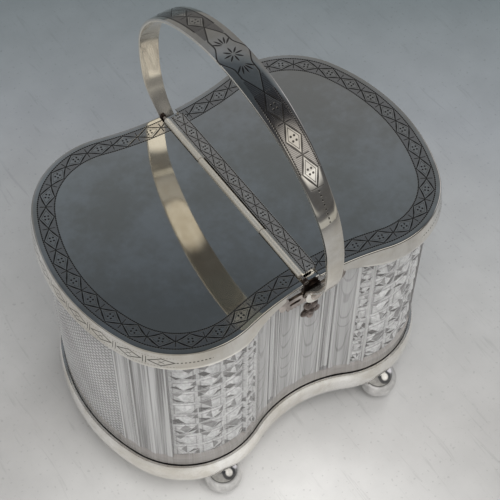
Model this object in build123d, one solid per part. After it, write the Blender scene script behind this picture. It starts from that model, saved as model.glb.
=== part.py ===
from build123d import *
import math
import os

# Double biscuit jar: one waisted cut-glass vessel with a glass partition, a plated rim and base on four
# ball feet, two hinged lids that share one long barrel hinge across the waist, and a swing handle.
# Millimetres, +Z up, X along the length, -Y is the front, origin on the table under the middle.

# outline of the lids seen from above: end arc, corner arc and hollow waist arc, all tangent
lid_half_length = 105.0
lid_half_waist = 66.3
lid_end_extra = 5.4
lid_corner_radius = 46.2
lid_hollow_radius = 169.0

# outline of the glass: it stands back from the lids, most of all at the waist
lid_overhang_end = 2.5
lid_overhang_waist = 9.2
glass_end_extra = 0.0
glass_corner_radius = 46.1
glass_hollow_radius = 72.1

# feet and base
foot_radius = 11.1
foot_flat = 0.1
foot_x = 55.4
foot_inset = 2.0
base_bottom = 21.0
base_height = 14.6
base_seam = 0.4
base_skin = 0.8
base_bulge = 1.8
base_plate_thickness = 1.4

# glass vessel
glass_height = 132.6
glass_wall = 5.0
glass_floor = 9.0
partition_thickness = 6.0
cavity_corner = 6.0
cavity_floor_radius = 4.0
cut_bottom = 9.0
cut_top = 10.0
flute_depth = 0.7
waist_flute_width = 13.0
panel_flute_width = 11.0
side_flute_width = 9.5
waist_flute_place = 0.948
panel_flute_place = 0.817
side_flute_places = [0.256, 0.32, 0.383]
pyramid_columns = 3
pyramid_rows = 9
pyramid_depth = 1.9
pyramid_start = 0.4287
pyramid_stop = 0.72
pyramid_crest_drop = 0.05
pyramid_column_crest = 0.05

# plated rim on top of the glass
collar_thickness = 1.2
collar_fit = 0.15
collar_drop = 8.0
collar_inset = 1.9
collar_lip = 0.8
bridge_width = 16.0

# lids
lid_gap = 0.4
lid_thickness = 1.0
lid_edge_radius = 0.7
skirt_height = 10.8
skirt_thickness = 0.9
skirt_flare = 1.9
skirt_start = 26.0

# hinge
hinge_x = -4.5
hinge_rise = 0.5
knuckle_radius = 1.6
pin_radius = 0.8
pin_clearance = 0.05
knuckle_gap = 0.4
centre_knuckle_half = 27.9
barrel_set_back = 5.0
strap_width = 7.6
strap_thickness = 1.2
strap_web = 0.7
strap_gap = 0.8
strap_lap = 3.6
notch_lap = 1.5
strap_corner = 2.0
pin_head_radius = 1.3
pin_head_height = 0.5

# waist brackets that carry the hinge pin and the handle
bracket_thickness = 1.6
bracket_half_bar = 15.5
bracket_bar_drop = 5.2
bracket_bar_rise = 2.2
bracket_block_half = 4.2
bracket_block_drop = 2.4
scroll_x = 17.4
scroll_half_width = 3.1
scroll_half_height = 5.3
scroll_rise = 1.2
slot_inner = 7.2
slot_length = 6.6
slot_height = 2.2
bead_radius = 1.0
bead_count = 15
boss_radius = 6.2
seat_radius = 4.4
seat_height = 0.4

# pivot of the handle
pivot_below_lid = 10.6
pivot_radius = 2.0
pivot_clearance = 0.05
pivot_end_play = 0.1
pivot_head_radius = 2.9
pivot_head_height = 1.5
head_roundness = 0.85
pivot_bite = 6.0
spot_face = 0.2

# blossom that hangs under each pivot
blossom_drop = 18.0
blossom_half_width = 6.2
blossom_half_height = 7.6
blossom_eye_radius = 2.4
petal_count = 5
petal_half_length = 3.4
petal_half_width = 2.3
petal_depth = 1.7
stem_radius = 0.9

# handle strap
handle_thickness = 2.0
handle_span_extra = 16.35
handle_rise = 111.2
handle_lean = 1.6
handle_camber = 0.06
eye_radius = 5.8
handle_samples = 48
handle_foot_profile = [(0.0, 0.031), (0.163, 0.056), (0.367, 0.088), (0.565, 0.122), (0.742, 0.161),
                       (0.883, 0.207)]
handle_arch_profile = [(0.993, 0.254), (1.0, 0.361), (0.985, 0.475), (0.941, 0.585), (0.865, 0.684),
                       (0.765, 0.773), (0.65, 0.847), (0.523, 0.905), (0.38, 0.951), (0.205, 0.986),
                       (0.0, 1.0)]
handle_half_width = 8.1
handle_widths = [(0.506, 0.0), (0.506, 0.05), (0.531, 0.155), (0.568, 0.254), (0.593, 0.361),
                 (0.617, 0.475), (0.654, 0.585), (0.704, 0.684), (0.741, 0.773), (0.802, 0.847),
                 (0.877, 0.905), (0.951, 0.951), (0.988, 0.986), (1.0, 1.0)]
handle_back_extra = [(0.0, 0.0), (0.0, 0.08), (0.18, 0.2), (0.18, 0.8), (0.0, 1.0)]

# levels and faces that follow from the sizes above
glass_half_length = lid_half_length - lid_overhang_end
glass_half_waist = lid_half_waist - lid_overhang_waist
glass_bottom = base_bottom + base_plate_thickness
glass_top = glass_bottom + glass_height
collar_top = glass_top + collar_thickness
lid_bottom = collar_top + lid_gap
lid_top = lid_bottom + lid_thickness
hinge_z = lid_top + hinge_rise
pivot_z = lid_top - pivot_below_lid
bracket_back_face = lid_half_waist - collar_inset
bracket_front_face = bracket_back_face + bracket_thickness
seat_face = bracket_front_face + seat_height
eye_inner_face = seat_face + pivot_end_play
eye_outer_face = eye_inner_face + handle_thickness
barrel_half_length = lid_half_waist - barrel_set_back
handle_half_span = lid_half_waist + handle_span_extra
strap_left = hinge_x + knuckle_radius + strap_gap
strap_right = strap_left + strap_width
lid_left_edge = hinge_x - knuckle_radius - knuckle_gap
lid_right_edge = strap_right - strap_lap

lid_shape = (lid_half_length, lid_half_waist, lid_half_length + lid_end_extra, lid_corner_radius,
             lid_hollow_radius)
glass_shape = (glass_half_length, glass_half_waist, glass_half_length + glass_end_extra,
               glass_corner_radius, glass_hollow_radius)


def outline_points(shape, grow):
    """Junctions of the three tangent arcs in the first quadrant, for an outline moved outwards by grow."""
    half_length = shape[0] + grow
    half_waist = shape[1] + grow
    end_radius = shape[2] + grow
    corner_radius = shape[3] + grow
    hollow_radius = shape[4] - grow
    end_x = half_length - end_radius
    hollow_y = half_waist + hollow_radius
    near = end_radius - corner_radius
    far = hollow_radius + corner_radius
    apart = math.hypot(end_x, hollow_y)
    along = (near * near - far * far + apart * apart) / (2 * apart)
    across = math.sqrt(near * near - along * along)
    unit_x = -end_x / apart
    unit_y = hollow_y / apart
    corner_x = end_x + along * unit_x + across * unit_y
    corner_y = along * unit_y - across * unit_x
    start = math.atan2(corner_y, corner_x - end_x)
    stop = math.atan2(hollow_y - corner_y, -corner_x)
    middle = (start + stop) / 2
    turns = [start, middle, stop]
    arc = [(corner_x + corner_radius * math.cos(a), corner_y + corner_radius * math.sin(a)) for a in turns]
    return half_length, half_waist, arc, (corner_x, corner_y, corner_radius)


def outline(shape, grow):
    """Closed figure-of-eight face on the XY plane."""
    half_length, half_waist, arc, _ = outline_points(shape, grow)
    (ax, ay), (mx, my), (bx, by) = arc
    edges = [
        ThreePointArc((ax, -ay), (half_length, 0), (ax, ay)),
        ThreePointArc((ax, ay), (mx, my), (bx, by)),
        ThreePointArc((bx, by), (0, half_waist), (-bx, by)),
        ThreePointArc((-bx, by), (-mx, my), (-ax, ay)),
        ThreePointArc((-ax, ay), (-half_length, 0), (-ax, -ay)),
        ThreePointArc((-ax, -ay), (-mx, -my), (-bx, -by)),
        ThreePointArc((-bx, -by), (0, -half_waist), (bx, -by)),
        ThreePointArc((bx, -by), (mx, -my), (ax, -ay)),
    ]
    return make_face(edges)


def prism(shape, grow, low, high):
    """Upright block with the outline as its plan."""
    return extrude(Plane.XY.offset(low) * outline(shape, grow), amount=high - low)


def block(x0, x1, y0, y1, z0, z1):
    """Box between two corners."""
    return Pos((x0 + x1) / 2, (y0 + y1) / 2, (z0 + z1) / 2) * Box(x1 - x0, y1 - y0, z1 - z0)


def rod(x, z, radius, y0, y1):
    """Round bar parallel to the hinge."""
    return Pos(x, (y0 + y1) / 2, z) * (Rot(90, 0, 0) * Cylinder(radius, y1 - y0))


def lobe(shape, grow, low, high, inner, side):
    """One half of an outline block, from the plane x = inner outwards, with rounded inner corners."""
    half = prism(shape, grow, low, high)
    reach = shape[0] + shape[1]
    keep = block(inner, reach, -reach, reach, low, high)
    half = half & keep
    corners = half.edges().filter_by(Axis.Z).group_by(Axis.X)[0]
    half = fillet(corners, cavity_corner)
    if side < 0:
        half = mirror(half, about=Plane.YZ)
    return half


def both_sides(part):
    """The piece on the back of the jar and its mirror image on the front."""
    return part, mirror(part, about=Plane.XZ)


def save(part, name):
    """Write one node."""
    part.label = name
    export_step(part, "parts/" + name + ".step")


# ---- glass vessel: two compartments with a partition, flutes and pyramids cut into its wall ----
def wall_place(shape, place):
    """Point of the first quarter of an outline and the direction it faces, at a share of its length."""
    _, half_waist, arc, (corner_x, corner_y, corner_radius) = outline_points(shape, 0)
    end_radius = shape[2]
    hollow_radius = shape[4]
    end_x = shape[0] - end_radius
    hollow_y = half_waist + hollow_radius
    start = math.atan2(arc[0][1], arc[0][0] - end_x)
    stop = math.atan2(hollow_y - corner_y, -corner_x)
    waist_turn = stop - math.pi / 2
    along = place * (end_radius * start + corner_radius * (stop - start) + hollow_radius * waist_turn)
    if along < end_radius * start:
        turn = along / end_radius
        return end_x + end_radius * math.cos(turn), end_radius * math.sin(turn), turn
    if along < end_radius * start + corner_radius * (stop - start):
        turn = start + (along - end_radius * start) / corner_radius
        return corner_x + corner_radius * math.cos(turn), corner_y + corner_radius * math.sin(turn), turn
    turn = stop - (along - end_radius * start - corner_radius * (stop - start)) / hollow_radius
    return -hollow_radius * math.cos(turn), hollow_y - hollow_radius * math.sin(turn), turn


def flute(shape, place, width, low, high):
    """Shallow hollow cut into one quarter of the wall, at a share of the way from its end to its waist."""
    x, y, turn = wall_place(shape, place)
    radius = (width * width / 4 + flute_depth * flute_depth) / (2 * flute_depth)
    away = radius - flute_depth
    middle = Pos(x + away * math.cos(turn), y + away * math.sin(turn), (low + high) / 2)
    return middle * Cylinder(radius, high - low)


def pyramid_cuts(shape, low, high):
    """Rings and uprights of V-grooves round one corner of the wall, which leave four-sided pyramids."""
    _, _, _, (corner_x, corner_y, radius) = outline_points(shape, 0)
    first = wall_place(shape, pyramid_start)[2]
    last = wall_place(shape, pyramid_stop)[2]
    outside = radius + pyramid_depth
    crest = radius - pyramid_crest_drop
    row_pitch = (high - low) / pyramid_rows
    profile = [(outside, low), (crest - pyramid_depth, low)]
    for row in range(pyramid_rows):
        profile.append((crest, low + (row + 0.5) * row_pitch))
        profile.append((crest - pyramid_depth, low + (row + 1) * row_pitch))
    profile.append((outside, high))
    section = Plane.XZ * make_face(Polyline(*profile, close=True))
    rings = revolve(section, axis=Axis.Z, revolution_arc=math.degrees(last - first))
    rings = Pos(corner_x, corner_y, 0) * (Rot(0, 0, math.degrees(first)) * rings)
    crest = radius + pyramid_column_crest
    half_pitch = (last - first) / pyramid_columns / 2
    plan = []
    for step in range(2 * pyramid_columns + 1):
        reach = crest if step % 2 else crest - pyramid_depth
        turn = first + step * half_pitch
        plan.append((corner_x + reach * math.cos(turn), corner_y + reach * math.sin(turn)))
    for step in range(2 * pyramid_columns, -1, -1):
        turn = first + step * half_pitch
        plan.append((corner_x + outside * math.cos(turn), corner_y + outside * math.sin(turn)))
    uprights = extrude(Plane.XY.offset(low) * make_face(Polyline(*plan, close=True)), amount=high - low)
    return rings, uprights


glass = prism(glass_shape, 0, glass_bottom, glass_top)
inner_start = partition_thickness / 2
cavity_low = glass_bottom + glass_floor
for side in (-1, 1):
    cavity = lobe(glass_shape, -glass_wall, cavity_low, collar_top, inner_start, side)
    floor_edges = cavity.edges().group_by(Axis.Z)[0]
    cavity = fillet(floor_edges, cavity_floor_radius)
    glass = glass - cavity
flute_low = base_bottom + base_height + cut_bottom
flute_high = glass_top - cut_top
flute_rows = [(waist_flute_place, waist_flute_width), (panel_flute_place, panel_flute_width)]
for place in side_flute_places:
    flute_rows.append((place, side_flute_width))
cutters = []
for place, width in flute_rows:
    for piece in both_sides(flute(glass_shape, place, width, flute_low, flute_high)):
        cutters.append(piece)
        cutters.append(mirror(piece, about=Plane.YZ))
for piece in pyramid_cuts(glass_shape, flute_low, flute_high):
    for quarter in both_sides(piece):
        cutters.append(quarter)
        cutters.append(mirror(quarter, about=Plane.YZ))
glass = glass - cutters

# ---- plated rim: flat flange with a bridge over the partition and a wall down the outside ----
collar = prism(lid_shape, -collar_inset, glass_top, collar_top)
wall = prism(glass_shape, collar_fit + collar_lip, glass_top - collar_drop, glass_top)
wall = wall - prism(glass_shape, collar_fit, glass_top - collar_drop, glass_top)
collar = collar + wall
for side in (-1, 1):
    mouth = lobe(glass_shape, -glass_wall - collar_lip, glass_top, collar_top, bridge_width / 2, side)
    collar = collar - mouth

# ---- base: convex band round the foot of the glass, closed below by a flat plate ----
base_top = base_bottom + base_height
band_rows = [(0.0, 0.35), (0.18, 0.8), (0.5, 1.0), (0.82, 0.8), (1.0, 0.3)]
band_faces = []
for up, out in band_rows:
    grow = base_seam + base_skin + base_bulge * out
    band_faces.append(Plane.XY.offset(base_bottom + base_height * up) * outline(glass_shape, grow))
band_outer = loft(band_faces)
band = band_outer - prism(glass_shape, base_seam, base_bottom, base_top)
plate = prism(glass_shape, base_seam, base_bottom, glass_bottom)

# ---- ball feet, hollowed where they sit under the band ----
_, _, foot_arc, foot_corner = outline_points(glass_shape, 0)
foot_y = foot_corner[1] + math.sqrt(foot_corner[2] ** 2 - (foot_x - foot_corner[0]) ** 2) - foot_inset
foot_z = foot_radius - foot_flat
under = block(-foot_radius, foot_radius, -foot_radius, foot_radius, -foot_radius, 0)
ball = Pos(foot_x, foot_y, foot_z) * Sphere(foot_radius)
ball = ball - (Pos(foot_x, foot_y, 0) * under)
seat = prism(glass_shape, base_seam, base_bottom, base_top)
ball = ball - seat - band_outer
feet = {}
for row, piece in zip(("back", "front"), both_sides(ball)):
    feet["foot_" + row + "_right"] = piece
    feet["foot_" + row + "_left"] = mirror(piece, about=Plane.YZ)

# ---- lids: flat plate with a flared skirt that stops short of the waist ----
skirt_bottom = lid_top - skirt_height


def lid(edge_x, side):
    """One lid as a hollow tray upside down, cut off at the hinge line."""
    reach = lid_half_length + lid_half_waist
    low_face = Plane.XY.offset(skirt_bottom) * outline(lid_shape, skirt_flare)
    high_face = Plane.XY.offset(lid_top) * outline(lid_shape, 0)
    shell = loft([low_face, high_face], ruled=True)
    rim = shell.faces().sort_by(Axis.Z)[-1].edges()
    shell = fillet(rim, lid_edge_radius)
    low_inner = Plane.XY.offset(skirt_bottom) * outline(lid_shape, skirt_flare - skirt_thickness)
    slope = skirt_flare * (1 - (skirt_height - lid_thickness) / skirt_height)
    high_inner = Plane.XY.offset(lid_bottom) * outline(lid_shape, slope - skirt_thickness)
    shell = shell - loft([low_inner, high_inner], ruled=True)
    clear = block(-skirt_start, skirt_start, -reach, reach, skirt_bottom, lid_bottom)
    shell = shell - clear
    if side < 0:
        keep = block(-reach, edge_x, -reach, reach, skirt_bottom, lid_top)
    else:
        keep = block(edge_x, reach, -reach, reach, skirt_bottom, lid_top)
    return shell & keep


lid_left = lid(lid_left_edge, -1)
tongue = block(lid_left_edge, hinge_x, -centre_knuckle_half, centre_knuckle_half, lid_bottom, lid_top)
tongue = tongue - rod(hinge_x, hinge_z, knuckle_radius, -centre_knuckle_half, centre_knuckle_half)
tongue = tongue & block(lid_left_edge, hinge_x - knuckle_radius / 2, -centre_knuckle_half,
                        centre_knuckle_half, lid_bottom, lid_top)
lid_left = lid_left + tongue
lid_right = lid(lid_right_edge, 1)
notch = block(lid_right_edge, strap_right - notch_lap, barrel_half_length, lid_half_length,
              skirt_bottom, lid_top)
for corner in both_sides(notch):
    lid_right = lid_right - corner

# ---- hinge: three knuckles on one pin, the outer two held by the long strap on the right lid ----
knuckle_bore = pin_radius + pin_clearance


def knuckle(y0, y1):
    """Length of tube on the hinge line."""
    return rod(hinge_x, hinge_z, knuckle_radius, y0, y1) - rod(hinge_x, hinge_z, knuckle_bore, y0, y1)


knuckle_centre = knuckle(-centre_knuckle_half, centre_knuckle_half)
outer_start = centre_knuckle_half + knuckle_gap
knuckle_back = knuckle(outer_start, barrel_half_length)
knuckle_front = knuckle(-barrel_half_length, -outer_start)
strap = block(strap_left, strap_right, -barrel_half_length, barrel_half_length, lid_top,
              lid_top + strap_thickness)
strap_ends = strap.edges().filter_by(Axis.Z).group_by(Axis.X)[-1]
strap = fillet(strap_ends, strap_corner)
tube_space = rod(hinge_x, hinge_z, knuckle_radius, -barrel_half_length, barrel_half_length)
for y0, y1 in ((outer_start, barrel_half_length), (-barrel_half_length, -outer_start)):
    web = block(hinge_x + knuckle_radius / 2, strap_left, y0, y1, lid_top, lid_top + strap_web)
    strap = strap + (web - tube_space)
pin_end = bracket_front_face + pin_head_height
pin = rod(hinge_x, hinge_z, pin_radius, -bracket_front_face, bracket_front_face)
for y0, y1 in ((bracket_front_face, pin_end), (-pin_end, -bracket_front_face)):
    pin = pin + rod(hinge_x, hinge_z, pin_head_radius, y0, y1)

# ---- waist bracket, drawn for the back of the jar: pierced apron, block on the rim, ear for the pin ----
bar_low = pivot_z - bracket_bar_drop
bar_high = pivot_z + bracket_bar_rise
apron = Pos(0, (bar_low + bar_high) / 2) * Rectangle(2 * bracket_half_bar, bar_high - bar_low)
apron = apron + Pos(0, pivot_z) * Circle(boss_radius)
for side in (-1, 1):
    scroll = Ellipse(scroll_half_width, scroll_half_height)
    apron = apron + Pos(side * scroll_x, pivot_z + scroll_rise) * scroll
bead_pitch = 2 * bracket_half_bar / bead_count
for place in range(bead_count):
    bead_x = (place - (bead_count - 1) / 2) * bead_pitch
    apron = apron + Pos(bead_x, bar_low) * Circle(bead_radius)
ear_width = 2 * knuckle_radius
ear_low = pivot_z
apron = apron + Pos(hinge_x, (ear_low + hinge_z) / 2) * Rectangle(ear_width, hinge_z - ear_low)
apron = apron + Pos(hinge_x, hinge_z) * Circle(knuckle_radius)
for side in (-1, 1):
    opening = SlotOverall(slot_length, slot_height)
    apron = apron - Pos(side * (slot_inner + slot_length / 2), (bar_low + bar_high) / 2) * opening
apron_plane = Plane(origin=(0, bracket_back_face, 0), x_dir=(1, 0, 0), z_dir=(0, -1, 0))
bracket = extrude(apron_plane * apron, amount=-bracket_thickness)
collar_wall_y = glass_half_waist + collar_fit
bracket_block = block(-bracket_block_half, bracket_block_half, collar_wall_y, bracket_back_face,
                      pivot_z - bracket_block_drop, glass_top)
bracket = bracket + bracket_block
bracket = bracket - prism(glass_shape, collar_fit + collar_lip, base_top, glass_top)
bracket = bracket - prism(lid_shape, -collar_inset, glass_top, collar_top)
bracket = bracket + rod(0, pivot_z, seat_radius, bracket_front_face, seat_face)
screw_tip = eye_outer_face + pivot_end_play - pivot_bite
bracket = bracket - rod(0, pivot_z, pivot_radius, screw_tip, seat_face)
bracket = bracket - rod(hinge_x, hinge_z, pin_radius, bracket_back_face, bracket_front_face)
bracket_back, bracket_front = both_sides(bracket)

# ---- pivot screw with a rounded head ----
head_face = eye_outer_face + pivot_end_play
screw = rod(0, pivot_z, pivot_radius, screw_tip, head_face)
head = rod(0, pivot_z, pivot_head_radius, head_face, head_face + pivot_head_height)
head = fillet(head.edges().sort_by(Axis.Y)[-1], pivot_head_height * head_roundness)
screw = screw + head
screw_back, screw_front = both_sides(screw)

# ---- blossom: petals round a bead, on a stem fixed to the lower edge of the bracket ----
blossom_y = (bracket_back_face + bracket_front_face) / 2
blossom_top = pivot_z - boss_radius
blossom_middle = blossom_top - blossom_drop + blossom_half_height


def petal(turn):
    """Plump oval petal that points outwards from the middle of the blossom."""
    shape = scale(Sphere(1), by=(petal_half_width, petal_depth, petal_half_length))
    out_x = (blossom_half_width - petal_half_length) * math.sin(math.radians(turn))
    out_z = (blossom_half_height - petal_half_length) * math.cos(math.radians(turn))
    return Pos(out_x, blossom_y, blossom_middle + out_z) * (Rot(0, turn, 0) * shape)


blossom = Pos(0, blossom_y, blossom_middle) * Sphere(blossom_eye_radius)
for place in range(petal_count):
    blossom = blossom + petal((2 * place + 1) * 180 / petal_count)
stem_length = blossom_drop - blossom_half_height
blossom = blossom + Pos(0, blossom_y, blossom_top - stem_length / 2) * Cylinder(stem_radius, stem_length)
blossom = blossom - bracket
blossom_back, blossom_front = both_sides(blossom)

# ---- handle: one strap bent over the waist, ending in an eye at each pivot ----
def share_at(rows, up):
    """Share that a table of share and rise gives at a fraction of the rise."""
    for (low_share, low), (high_share, high) in zip(rows, rows[1:]):
        if up <= high:
            return low_share + (high_share - low_share) * (up - low) / (high - low)
    return rows[-1][0]


def strap_half_width(up, back):
    """Half the width of the strap at a fraction of its rise; the leg at the back is a little broader."""
    half = handle_half_width * share_at(handle_widths, up)
    if back:
        half = half * (1 + share_at(handle_back_extra, up))
    return half


side_points = []
for out, up in handle_foot_profile:
    reach = eye_outer_face + out * (handle_half_span - eye_outer_face)
    side_points.append((reach, pivot_z + up * handle_rise))
for out, up in handle_arch_profile:
    side_points.append((out * handle_half_span, pivot_z + up * handle_rise))
mirrored = [(-y, z) for y, z in reversed(side_points[:-1])]
edge_curve = Spline(side_points + mirrored)
sections = []
for step in range(handle_samples + 1):
    at = edge_curve @ (step / handle_samples)
    along = edge_curve % (step / handle_samples)
    half = strap_half_width((at.Y - pivot_z) / handle_rise, at.X > 0)
    inner_side = Polyline((half, 0), (half, -handle_thickness), (-half, -handle_thickness), (-half, 0))
    outer_side = ThreePointArc((-half, 0), (0, half * handle_camber), (half, 0))
    across = Plane(origin=(0, at.X, at.Y), x_dir=(1, 0, 0), z_dir=(0, along.X, along.Y))
    sections.append(across * make_face([inner_side, outer_side]))
handle = loft(sections)
for eye in both_sides(rod(0, pivot_z, eye_radius, eye_inner_face, eye_outer_face)):
    handle = handle + eye
for room in both_sides(rod(0, pivot_z, pivot_head_radius + spot_face, eye_outer_face, handle_half_span)):
    handle = handle - room
for bore in both_sides(rod(0, pivot_z, pivot_radius + pivot_clearance, 0, handle_half_span)):
    handle = handle - bore
handle = Pos(0, 0, pivot_z) * (Rot(0, -handle_lean, 0) * (Pos(0, 0, -pivot_z) * handle))

# ---- one file per node ----
os.makedirs("parts", exist_ok=True)
save(glass, "glass_body")
save(collar, "rim_collar")
save(band, "base_band")
save(plate, "base_plate")
for name, piece in feet.items():
    save(piece, name)
save(bracket_front, "bracket_front")
save(bracket_back, "bracket_back")
save(blossom_front, "blossom_front")
save(blossom_back, "blossom_back")
save(screw_front, "pivot_screw_front")
save(screw_back, "pivot_screw_back")
save(pin, "hinge_pin")
save(lid_left, "lid_left")
save(lid_right, "lid_right")
save(knuckle_centre, "knuckle_centre")
save(knuckle_front, "knuckle_front")
save(knuckle_back, "knuckle_back")
save(strap, "hinge_strap")
save(handle, "handle")
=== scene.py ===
import math
from functools import reduce

import bpy
import numpy as np
from mathutils import Matrix, Vector


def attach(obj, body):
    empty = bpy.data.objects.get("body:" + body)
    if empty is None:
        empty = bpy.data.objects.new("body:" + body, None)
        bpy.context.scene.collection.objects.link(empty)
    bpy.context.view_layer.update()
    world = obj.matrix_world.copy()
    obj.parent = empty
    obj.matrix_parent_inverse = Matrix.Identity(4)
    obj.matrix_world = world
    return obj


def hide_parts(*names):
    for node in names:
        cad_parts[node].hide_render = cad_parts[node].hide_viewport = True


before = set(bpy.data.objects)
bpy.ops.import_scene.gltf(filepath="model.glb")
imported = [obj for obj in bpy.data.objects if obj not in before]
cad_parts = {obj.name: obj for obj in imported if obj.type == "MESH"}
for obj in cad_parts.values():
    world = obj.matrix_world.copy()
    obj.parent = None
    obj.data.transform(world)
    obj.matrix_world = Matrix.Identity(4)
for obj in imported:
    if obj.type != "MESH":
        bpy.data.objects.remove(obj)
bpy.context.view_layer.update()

mm = 0.001

# Cut-glass biscuit jar for two kinds of biscuit. The plated solids come with the frame; the glass,
# the two lids and the swing handle are made here as surfaces, in millimetres, with x along the jar.

lidOutline = (105.0, 66.3, 110.4, 46.2, 169.0)  # half length, half waist, end, corner and hollow radius
glassOutline = (102.5, 57.1, 102.5, 46.1, 72.1)


# outline and mesh helpers
def outlineArcs(shape):
    # a quarter of the outline is three tangent arcs; gives their centres, radii, turning angles and lengths
    halfLength, halfWaist, endRadius, cornerRadius, hollowRadius = shape
    endX = halfLength - endRadius
    hollowY = halfWaist + hollowRadius
    near = endRadius - cornerRadius
    far = hollowRadius + cornerRadius
    gap = math.hypot(endX, hollowY)
    along = (near ** 2 - far ** 2 + gap ** 2) / (2 * gap)
    across = math.sqrt(near ** 2 - along ** 2)
    cornerX = endX - along * endX / gap + across * hollowY / gap
    cornerY = along * hollowY / gap + across * endX / gap
    start = math.atan2(cornerY, cornerX - endX)
    stop = math.atan2(hollowY - cornerY, -cornerX)
    turns = (start, stop - start, stop - math.pi / 2)
    radii = (endRadius, cornerRadius, hollowRadius)
    return endX, cornerX, cornerY, hollowY, start, stop, radii, turns


def outlineLength(shape):
    # length of a quarter of the outline
    radii, turns = outlineArcs(shape)[6:]
    return sum(radius * turn for radius, turn in zip(radii, turns))


def outlinePoint(shape, s):
    # point and outward normal at the distance s round the outline, anticlockwise from its right-hand end:
    # centre of the arc plus its radius times the unit vector at the angle reached
    endX, cornerX, cornerY, hollowY, start, stop, radii, turns = outlineArcs(shape)
    first = radii[0] * turns[0]
    second = first + radii[1] * turns[1]
    quarter = second + radii[2] * turns[2]
    s = np.mod(np.asarray(s, float), 4 * quarter)
    part = np.minimum((s / quarter).astype(int), 3)
    rest = s - part * quarter
    r = np.where(part % 2 == 1, quarter - rest, rest)
    onEnd = r < first
    onCorner = (r >= first) & (r < second)
    angle = np.where(onEnd, r / radii[0],
                     np.where(onCorner, start + (r - first) / radii[1], stop - (r - second) / radii[2]))
    c, n = np.cos(angle), np.sin(angle)
    x = np.where(onEnd, endX + radii[0] * c, np.where(onCorner, cornerX + radii[1] * c, -radii[2] * c))
    y = np.where(onEnd, radii[0] * n, np.where(onCorner, cornerY + radii[1] * n, hollowY - radii[2] * n))
    signX = np.where((part == 1) | (part == 2), -1.0, 1.0)
    signY = np.where(part >= 2, -1.0, 1.0)
    return x * signX, y * signY, c * signX, n * signY


def bandLength(shape, s, inset):
    # length along the outline moved inwards by inset, as a function of s on the outline, within a quarter
    radii, turns = (np.array(values) for values in outlineArcs(shape)[6:])
    moved = radii + inset * np.array([-1.0, -1.0, 1.0])
    knots = np.concatenate([[0.0], np.cumsum(radii * turns)])
    lengths = np.concatenate([[0.0], np.cumsum(moved * turns)])
    return np.sign(s) * np.interp(np.abs(s), knots, lengths)


def gridFaces(rows, cols, wrap=False):
    # corner numbers of the quads between neighbouring rows and columns of a grid
    r = np.arange(rows - 1)[:, None]
    c = np.arange(cols if wrap else cols - 1)[None, :]
    d = (c + 1) % cols
    quads = np.stack([r * cols + c, r * cols + d, (r + 1) * cols + d, (r + 1) * cols + c], -1)
    return quads.reshape(-1, 4)


def makePiece(name, points, faceSets, uvSets=None, sharp=35.0, smooth=True):
    # one mesh object from points in millimetres and arrays of faces, each array with one number of corners
    mesh = bpy.data.meshes.new(name)
    points = np.asarray(points, float).reshape(-1, 3) * mm
    mesh.vertices.add(len(points))
    mesh.vertices.foreach_set("co", points.ravel())
    corners = np.concatenate([f.ravel() for f in faceSets]).astype(np.int32)
    sizes = np.concatenate([np.full(len(f), f.shape[1]) for f in faceSets])
    starts = np.concatenate([[0], np.cumsum(sizes)[:-1]]).astype(np.int32)
    mesh.loops.add(len(corners))
    mesh.loops.foreach_set("vertex_index", corners)
    mesh.polygons.add(len(sizes))
    mesh.polygons.foreach_set("loop_start", starts)
    for uvName, uvs in (uvSets or {}).items():
        layer = mesh.uv_layers.new(name=uvName)
        flat = np.concatenate([u.reshape(-1, 2) for u in uvs]).astype(np.float32)
        layer.data.foreach_set("uv", flat.ravel())
    mesh.update(calc_edges=True)
    mesh.validate()
    mesh.polygons.foreach_set("use_smooth", np.full(len(sizes), smooth))
    if smooth:
        mesh.set_sharp_from_angle(angle=math.radians(sharp))
    piece = bpy.data.objects.new(name, mesh)
    bpy.context.scene.collection.objects.link(piece)
    return piece


def boxShell(x0, x1, y0, y1, z0, z1, base):
    # eight corners and six outward faces of a box; base is the number of its first corner
    points = np.array([[x, y, z] for z in (z0, z1) for y in (y0, y1) for x in (x0, x1)], float)
    faces = np.array([[0, 2, 3, 1], [4, 5, 7, 6], [0, 1, 5, 4], [2, 6, 7, 3], [0, 4, 6, 2], [1, 3, 7, 5]])
    return points, faces + base


# node helpers; the nodes of a formula go into the tree of the first socket in it
def addNode(tree, kind, **settings):
    node = tree.nodes.new(kind)
    for key, value in settings.items():
        setattr(node, key, value)
    return node


def nodeFor(values, kind, **settings):
    tree = next(value.id_data for value in values if isinstance(value, bpy.types.NodeSocket))
    return addNode(tree, kind, **settings)


def feed(socket, value):
    # a number or a colour is set on the socket itself, another socket is linked to it
    if isinstance(value, (int, float)):
        socket.default_value = value
    elif isinstance(value, tuple):
        socket.default_value = value if len(value) == len(socket.default_value) else (*value, 1.0)
    else:
        socket.id_data.links.new(value, socket)


def feedAll(sockets, values):
    for label, value in values.items():
        feed(sockets[label], value)


def calc(operation, *values, clamp=False):
    node = nodeFor(values, "ShaderNodeMath", operation=operation, use_clamp=clamp)
    for socket, value in zip(node.inputs, values):
        feed(socket, value)
    return node.outputs[0]


def chained(operation, values):
    return reduce(lambda first, second: calc(operation, first, second), values)


def times(*values):
    return chained("MULTIPLY", values)


def plus(*values):
    return chained("ADD", values)


def highest(*values):
    return chained("MAXIMUM", values)


def minus(first, second):
    return calc("SUBTRACT", first, second)


def divide(first, second):
    return calc("DIVIDE", first, second)


def above(value, limit):
    return calc("GREATER_THAN", value, limit)


def below(value, limit):
    return calc("LESS_THAN", value, limit)


def between(value, low, high):
    return times(above(value, low), below(value, high))


def inverse(value):
    return minus(1.0, value)


def apart(first, second=0.0):
    # distance between two numbers
    return calc("ABSOLUTE", minus(first, second) if second != 0.0 else first)


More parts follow.
